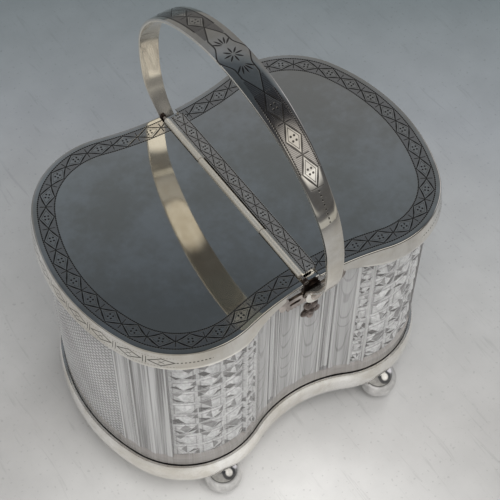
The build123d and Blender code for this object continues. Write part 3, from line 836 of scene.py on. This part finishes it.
def makeLid(name, node, body, side, edgeX, extra, rises, material):
    # profile carried round one lobe: in from the plate, over the rounded edge, down the flared skirt,
    # round its lip, up inside and in under the plate; the height of the skirt eases off near the waist
    top, thick, skirt = lidShape["top"], lidShape["thickness"], lidShape["skirtHeight"]
    radius, flare, wall = lidShape["edgeRadius"], lidShape["flare"], lidShape["skirtThickness"]
    start, lip = lidShape["skirtStart"], lidShape["lip"]
    # inset from the outline or part of the skirt, drop below the top, share of the skirt, v on the band
    profile = [(inset, 0.0, 0.0, inset) for inset in (16.0, 11.8, 7.45, 3.1, 1.6)]
    for turn in np.radians([0.0, 18.0, 36.0, 54.0, 72.0]):
        profile.append((radius * (1 - math.sin(turn)), radius * (1 - math.cos(turn)), 0.0, 0.0))
    profile += [("out", start, share, -5.0) for share in (0.0, 0.15, 0.35, 0.6, 0.85, 0.98)]
    profile += [("lip", start, 1.0, -5.0), ("lipIn", start, 1.0, -5.0)]
    profile += [("in", thick, share, -5.0) for share in (0.97, 0.7, 0.35, 0.0)]
    profile.append((6.0, thick, 0.0, -50.0))
    quarter = outlineLength(lidOutline)
    endShift = 0.0 if side > 0 else 2 * quarter
    t = np.linspace(-1.0, 1.0, lidShape["columns"])
    probe = np.linspace(quarter * 0.7, quarter * 1.3, 2001)
    probeX, _, probeNormal, _ = outlinePoint(lidOutline, endShift + side * probe)
    points, band, rim = [], [], []
    for part, drop, share, bandV in profile:
        # the hinge edge is the straight line x = edgeX, so each row ends where its own arc meets it
        onSkirt = isinstance(part, str)
        found = side * (probeX - probeNormal * (0.0 if onSkirt else part)) - side * edgeX
        s = t * np.interp(0.0, -found, probe)
        x, y, nx, ny = outlinePoint(lidOutline, endShift + side * s)
        height = thick + (skirt - thick) * np.interp(np.abs(x), *np.transpose(rises))
        fall = drop + (height - lip - drop) * share
        if part == "out":
            out = flare * fall / skirt
        elif part == "lip":
            fall = height
            out = flare * fall / skirt - lidShape["lipRound"]
        elif part == "lipIn":
            fall = height
            out = flare * fall / skirt - wall + lip
        elif part == "in":
            fall = np.maximum(fall, thick + 0.004 * share)
            out = flare * fall / skirt - wall
        else:
            fall = np.full_like(s, drop)
            out = np.full_like(s, -part)
        points.append(np.stack([x + nx * out, y + ny * out, top - fall], -1))
        band.append(np.stack([bandLength(lidOutline, s, bandLook["middle"]), np.full_like(s, bandV)], -1))
        rim.append(np.stack([s, -fall if onSkirt else np.full_like(s, lidShape["offSkirt"])], -1))
    points, band, rim = np.stack(points), np.concatenate(band), np.concatenate(rim)
    points[:, [0, -1], 0] = edgeX
    rows, cols = points.shape[:2]
    index = np.arange(rows * cols).reshape(rows, cols)
    quads = gridFaces(rows, cols)
    caps = [index[0][None, :], index[-1][None, ::-1], np.concatenate([index[:, -1], index[::-1, 0]])[None, :]]
    # every face looks outwards, though s runs anticlockwise round the right lobe and clockwise round the left
    if side > 0:
        quads = quads[:, ::-1]
    else:
        caps = [cap[:, ::-1] for cap in caps]
    points = points.reshape(-1, 3)
    ledge, ledgeFaces = boxShell(*extra, len(points))
    rest = [*caps, ledgeFaces]
    away = np.array([0.0, lidShape["offSkirt"]])
    uvSets = {key: [uv[quads]] + [np.broadcast_to(away, (*faces.shape, 2)) for faces in rest]
              for key, uv in (("band", band), ("skirt", rim))}
    piece = makePiece(name, np.concatenate([points, ledge]), [quads, *rest], uvSets)
    piece.data.materials.append(material)
    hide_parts(node)
    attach(piece, body)
    return piece


lidLeft = makeLid("lidLeft", "lid_left", "left_lid", -1, -6.5,
                  (-6.6, -5.4, -27.8, 27.8, 156.62, 157.58), leftSkirtRise, leftLidSilver)
lidRight = makeLid("lidRight", "lid_right", "right_lid", 1, 4.0,
                   (1.9, 4.1, -61.3, 61.3, 156.62, 157.58), rightSkirtRise, rightLidSilver)
print("lids made")


# swing handle
handleShape = {"pivotZ": 147.0, "rise": 111.2, "halfSpan": 82.65, "eyeFace": 68.5, "eyeRadius": 5.8,
               "thickness": 2.0, "halfWidth": 8.1, "camber": 0.06, "lean": 1.6, "edge": 0.7, "innerV": 60.0,
               "steps": 420, "endSteps": 26, "endRun": 22.0, "legSteps": 160, "hoopSteps": 2401,
               "pathSteps": 6001, "blurSteps": 61}
# outer face of the strap: share of the way from the eye face out to the half span, share of the rise
handleFoot = [(0.0, 0.031), (0.163, 0.056), (0.367, 0.088), (0.565, 0.122), (0.742, 0.161), (0.883, 0.207)]
# share of the half span, share of the rise
handleArch = [(0.993, 0.254), (1.0, 0.361), (0.985, 0.475), (0.941, 0.585), (0.865, 0.684), (0.765, 0.773),
              (0.65, 0.847), (0.523, 0.905), (0.38, 0.951), (0.205, 0.986), (0.0, 1.0)]
handleWidths = [(0.506, 0.0), (0.506, 0.05), (0.531, 0.155), (0.568, 0.254), (0.593, 0.361), (0.617, 0.475),
                (0.654, 0.585), (0.704, 0.684), (0.741, 0.773), (0.802, 0.847), (0.877, 0.905),
                (0.951, 0.951), (0.988, 0.986), (1.0, 1.0)]
# extra share of the half width of the back leg, which is the broader one; share of the rise
backExtra = [(0.0, 0.0), (0.0, 0.08), (0.18, 0.2), (0.18, 0.8), (0.0, 1.0)]


def splineThrough(knots, count):
    # natural cubic spline through the points, with the distance between them as its parameter
    knots = np.asarray(knots, float)
    t = np.concatenate([[0.0], np.cumsum(np.hypot(*np.diff(knots, axis=0).T))])
    n = len(t)
    h = np.diff(t)
    matrix = np.eye(n)
    right = np.zeros((n, 2))
    i = np.arange(1, n - 1)
    matrix[i, i - 1] = h[:-1]
    matrix[i, i] = 2 * (h[:-1] + h[1:])
    matrix[i, i + 1] = h[1:]
    slopes = np.diff(knots, axis=0) / h[:, None]
    right[1:-1] = 6 * np.diff(slopes, axis=0)
    bend = np.linalg.solve(matrix, right)
    u = np.linspace(0, t[-1], count)
    k = np.clip(np.searchsorted(t, u, side="right") - 1, 0, n - 2)
    a = (t[k + 1] - u) / h[k]
    b = (u - t[k]) / h[k]
    a, b, bulge = a[:, None], b[:, None], (h[k] ** 2)[:, None] / 6
    return a * knots[k] + b * knots[k + 1] + ((a ** 3 - a) * bend[k] + (b ** 3 - b) * bend[k + 1]) * bulge


def makeHandle():
    # strap section carried along the hoop: crowned outer face, rounded edges, flat inner face
    face, span = handleShape["eyeFace"], handleShape["halfSpan"]
    knots = [(face + share * (span - face), up * handleShape["rise"]) for share, up in handleFoot]
    knots += [(share * span, up * handleShape["rise"]) for share, up in handleArch]
    knots += [(-y, z) for y, z in reversed(knots[:-1])]
    hoop = splineThrough(knots, handleShape["hoopSteps"])
    radius = handleShape["eyeRadius"]
    turn = np.linspace(0.06, 1.0, handleShape["legSteps"])[:, None]
    drop = np.concatenate([np.full_like(turn, face), -radius + (hoop[0, 1] + radius) * turn], 1)
    path = np.concatenate([drop[:-1], hoop, (drop * [-1, 1])[::-1][1:]])
    length = np.concatenate([[0.0], np.cumsum(np.hypot(*np.diff(path, axis=0).T))])
    even = np.linspace(0, length[-1], handleShape["pathSteps"])
    path = np.stack([np.interp(even, length, line) for line in path.T], -1)
    # a weighted moving average rounds the bend above each eye
    window = np.hanning(handleShape["blurSteps"])
    window /= window.sum()
    pad = handleShape["blurSteps"] // 2
    padded = np.concatenate([2 * path[:1] - path[pad:0:-1], path, 2 * path[-1:] - path[-2:-2 - pad:-1]])
    path = np.stack([np.convolve(padded[:, k], window, "valid") for k in (0, 1)], -1)
    near = handleShape["endRun"]
    close = near * (1 - np.cos(np.linspace(0, math.pi / 2, handleShape["endSteps"])))[:-1]
    spread = np.concatenate([close, np.linspace(near, length[-1] - near, handleShape["steps"]),
                             length[-1] - close[::-1]])
    y, z = (np.interp(spread, even, line) for line in path.T)
    ty, tz = (np.interp(spread, even, line) for line in np.gradient(path, even, axis=0).T)
    size = np.hypot(ty, tz)
    outY, outZ = tz / size, -ty / size  # outwards from the hoop, which runs from the back foot over the top
    rise = z / handleShape["rise"]
    half = handleShape["halfWidth"] * np.interp(rise, *np.transpose(handleWidths)[::-1])
    half = half * np.where(y > 0, 1.0 + np.interp(rise, *np.transpose(backExtra)[::-1]), 1.0)
    circle = np.sqrt(np.clip(radius ** 2 - z ** 2, 0.02, None))
    atEye = z < radius
    half = np.where(atEye, np.where(z < 0, circle, np.maximum(circle, half)), half)
    edge, thick = handleShape["edge"], handleShape["thickness"]
    # place across from -1 to 1, inset from the side, height over the outer face
    section = [(-1, 0.0, edge - thick), (-1, 0.0, -edge), (-1, 0.12, -0.12),
               *((place, edge, 0.0) for place in (-1, -0.7, -0.35, 0, 0.35, 0.7, 1)),
               (1, 0.12, -0.12), (1, 0.0, -edge), (1, 0.0, edge - thick), (1, 0.12, 0.12 - thick),
               (1, edge, -thick), (0, edge, -thick), (-1, edge, -thick), (-1, 0.12, 0.12 - thick)]
    columns, uv = [], []
    for place, inset, depth in section:
        x = place * np.maximum(half - inset, 0.02)
        crown = handleShape["camber"] * half * (1 - (x / half) ** 2) if depth > -thick / 2 else 0.0
        lift = depth + crown
        columns.append(np.stack([x, y + outY * lift, z + outZ * lift], -1))
        outer = depth > -edge - 0.01
        uv.append(np.stack([spread - length[-1] / 2, x if outer else x + handleShape["innerV"]], -1))
    x, y, z = np.moveaxis(np.stack(columns, 1), -1, 0)
    lean = math.radians(handleShape["lean"])
    points = np.stack([x * math.cos(lean) - z * math.sin(lean), y,
                       x * math.sin(lean) + z * math.cos(lean) + handleShape["pivotZ"]], -1)
    rows, cols = points.shape[:2]
    quads = gridFaces(rows, cols, wrap=True)
    index = np.arange(rows * cols).reshape(rows, cols)
    caps = [index[0][None, :], index[-1][None, ::-1]]
    points = points.reshape(-1, 3)
    quads = quads[:, ::-1]
    uv = np.stack(uv, 1).reshape(-1, 2)
    end = np.array([0.0, handleShape["innerV"]])
    uvs = [uv[quads]] + [np.broadcast_to(end, (*cap.shape, 2)) for cap in caps]
    piece = makePiece("swingHandle", points, [quads] + caps, {"strap": uvs}, sharp=40.0)
    piece.data.materials.append(handleSilver)
    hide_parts("handle")
    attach(piece, "swing_handle")
    return piece


swingHandle = makeHandle()
print("handle made")


# finishes of the plated solids
nodeFinish = {"rim_collar": silver, "base_band": litBaseSilver, "base_plate": litBaseSilver,
              "foot_front_left": ballSilver, "foot_front_right": ballSilver, "foot_back_left": ballSilver,
              "foot_back_right": ballSilver, "bracket_front": castSilver, "bracket_back": castSilver,
              "blossom_front": blossomSilver, "blossom_back": blossomSilver, "pivot_screw_front": pinSteel,
              "pivot_screw_back": pinSteel, "hinge_pin": pinSteel, "knuckle_centre": barrelSilver,
              "knuckle_front": barrelSilver, "knuckle_back": barrelSilver, "hinge_strap": leafSilver}
for node, finish in nodeFinish.items():
    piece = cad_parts[node]
    piece.data.materials.clear()
    piece.data.materials.append(finish)


# floor, light and camera
stageLook = {"reach": 2.2, "away": (0.5746, 0.8184), "nearEdge": -0.12, "farEdge": 0.32,
             "poolCentre": (-0.010, -0.075, 0.0),
             "tones": [(0.0, (0.68, 0.67, 0.65)), (0.17, (0.53, 0.52, 0.505)), (0.36, (0.40, 0.40, 0.395)),
                       (0.71, (0.265, 0.282, 0.298)), (1.0, (0.155, 0.182, 0.192))]}


def makeFloor():
    look = stageLook
    reach = look["reach"] / mm
    corners = np.array([[-reach, -reach, 0], [reach, -reach, 0], [reach, reach, 0], [-reach, reach, 0]])
    floor = makePiece("floor", corners, [np.array([[0, 1, 2, 3]])], smooth=False)
    material, tree, shader = newMaterial("paleTable")
    place = objectCoords(tree)
    x, y, _ = axes(place)
    cloud = noise(place, 6.0, 2.0, 0.5)
    awayX, awayY = look["away"]
    depth = plus(times(x, awayX), times(y, awayY), times(minus(cloud, 0.5), 0.08))
    share = mapRange("LINEAR", depth, look["nearEdge"], look["farEdge"], 0.0, 1.0)
    color = toneScale(share, look["tones"])
    # a painted pool of light in front of the jar, fading in painted shade towards the corners
    distance = addNode(tree, "ShaderNodeVectorMath", operation="DISTANCE")
    feedAll(distance.inputs, {0: place, 1: look["poolCentre"]})
    reached = distance.outputs["Value"]
    aside = minus(times(x, awayY), times(y, awayX))
    glow = ramp(plus(reached, times(cloud, 0.03)), 0.02, 0.07, 1.13, 1.0)
    fall = times(ramp(reached, 0.0, 0.24, 1.26, 0.66), ramp(aside, 0.0, 0.16, 1.0, 0.76), glow)
    front = fade(depth, -0.10, 0.05)
    lightPool = plus(times(fall, front), inverse(front))
    # faint scuffs and specks
    scuff = ramp(noise(stretch(place, (240.0, 22.0, 1.0), (0.0, 0.0, 0.9)), 1.0, 3.0, 0.7, 0.6), 0.58, 0.70,
                 1.0, 0.90)
    speck = ramp(noise(place, 420.0, 1.0), 0.66, 0.74, 1.0, 0.85)
    mottle = ramp(noise(place, 35.0, 4.0, 0.6), 0.25, 0.75, 0.955, 1.045)
    for factor in (lightPool, scuff, speck, mottle):
        color = blendColor(1.0, color, factor, "MULTIPLY")
    feedAll(shader.inputs, {"Base Color": color, "Roughness": 0.75})
    floor.data.materials.append(material)


roomLook = {"light": (0.56, 0.562, 0.565), "away": (0.5746, 0.8184, 0.0),
            "tones": [(0.0, (0.22, 0.22, 0.215)), (0.35, (0.21, 0.21, 0.21)), (0.70, (0.20, 0.21, 0.225)),
                      (0.77, (0.145, 0.165, 0.185)), (0.83, (0.078, 0.092, 0.108)),
                      (1.0, (0.05, 0.06, 0.07))],
            "front": [(0.0, (0.45, 0.44, 0.40)), (0.04, (0.14, 0.135, 0.13)), (0.10, (0.12, 0.12, 0.12)),
                      (0.16, (0.40, 0.39, 0.36)), (0.80, (0.36, 0.35, 0.33)), (0.92, (0.06, 0.07, 0.08))],
            "window": (0.95, 0.92, 0.86), "windowPlace": (0.34, -0.60, 0.724), "windowEdge": (0.90, 0.97),
            "side": (0.78, 0.76, 0.80), "sidePlace": (0.95, 0.05, 0.31),
            "surround": (0.05, 0.05, 0.055), "surroundEdge": (0.70, 0.80)}


def makeWorld():
    # the room as the plate mirrors it: pale round the table, dark slate overhead at the back, a lit front
    # with one bright window; matt surfaces and what is seen through the glass get level light
    look = roomLook
    world = bpy.data.worlds.new("studio")
    bpy.context.scene.world = world
    world.use_nodes = True
    tree = world.node_tree
    background = tree.nodes["Background"]
    direction = addNode(tree, "ShaderNodeTexCoord").outputs["Generated"]
    upward = axes(direction)[2]

    def facing(toward):
        node = addNode(tree, "ShaderNodeVectorMath", operation="DOT_PRODUCT")
        feedAll(node.inputs, {0: direction, 1: toward})
        return node.outputs["Value"]

    room = blendColor(fade(facing(look["away"]), -0.28, -0.02), toneScale(upward, look["tones"]),
                      toneScale(upward, look["front"]))
    window = facing(look["windowPlace"])
    room = blendColor(times(ramp(window, *look["surroundEdge"]), 0.85), room, look["surround"])
    room = blendColor(ramp(window, *look["windowEdge"]), room, look["window"])
    room = blendColor(ramp(facing(look["sidePlace"]), *look["windowEdge"]), room, look["side"])
    path = addNode(tree, "ShaderNodeLightPath").outputs
    mirrored = times(path["Is Glossy Ray"], inverse(path["Is Transmission Ray"]))
    feedAll(background.inputs, {0: blendColor(mirrored, look["light"], room), 1: 1.0})


lamps = {"keyLamp": {"place": (-0.15, -0.65, 1.25), "size": 1.0, "power": 12.0},
         "sideLamp": {"place": (0.9, 0.25, 1.1), "size": 0.7, "power": 4.0}}
lampTarget = (0.0, 0.0, 0.1)


def addLamp(name, place, size, power):
    lamp = bpy.data.lights.new(name, "AREA")
    lamp.shape = "DISK"
    lamp.size = size
    lamp.energy = power
    holder = bpy.data.objects.new(name, lamp)
    bpy.context.scene.collection.objects.link(holder)
    away = Vector(place) - Vector(lampTarget)
    holder.location = place
    holder.rotation_euler = away.to_track_quat("Z", "Y").to_euler()
    holder.visible_glossy = False


cameraView = {"azimuth": -35.07, "elevation": 53.82, "roll": 0.80, "lens": 91.76,
              "place": (-0.23038, -0.33962, 0.66789)}


def makeCamera():
    azimuth, elevation, roll = (math.radians(cameraView[k]) for k in ("azimuth", "elevation", "roll"))
    back = Vector((math.sin(azimuth) * math.cos(elevation), -math.cos(azimuth) * math.cos(elevation),
                   math.sin(elevation)))
    right = Vector((0, 0, 1)).cross(back).normalized()
    up = back.cross(right)
    across = right * math.cos(roll) + up * math.sin(roll)
    upright = up * math.cos(roll) - right * math.sin(roll)
    data = bpy.data.cameras.new("camera")
    data.lens = cameraView["lens"]
    data.sensor_width = 36.0
    camera = bpy.data.objects.new("camera", data)
    bpy.context.scene.collection.objects.link(camera)
    turn = Matrix((across, upright, back)).transposed().to_4x4()
    camera.matrix_world = Matrix.Translation(cameraView["place"]) @ turn
    bpy.context.scene.camera = camera


makeFloor()
makeWorld()
for lampName, lampValues in lamps.items():
    addLamp(lampName, **lampValues)
makeCamera()
bpy.context.scene.view_settings.view_transform = "Standard"
print("stage made")
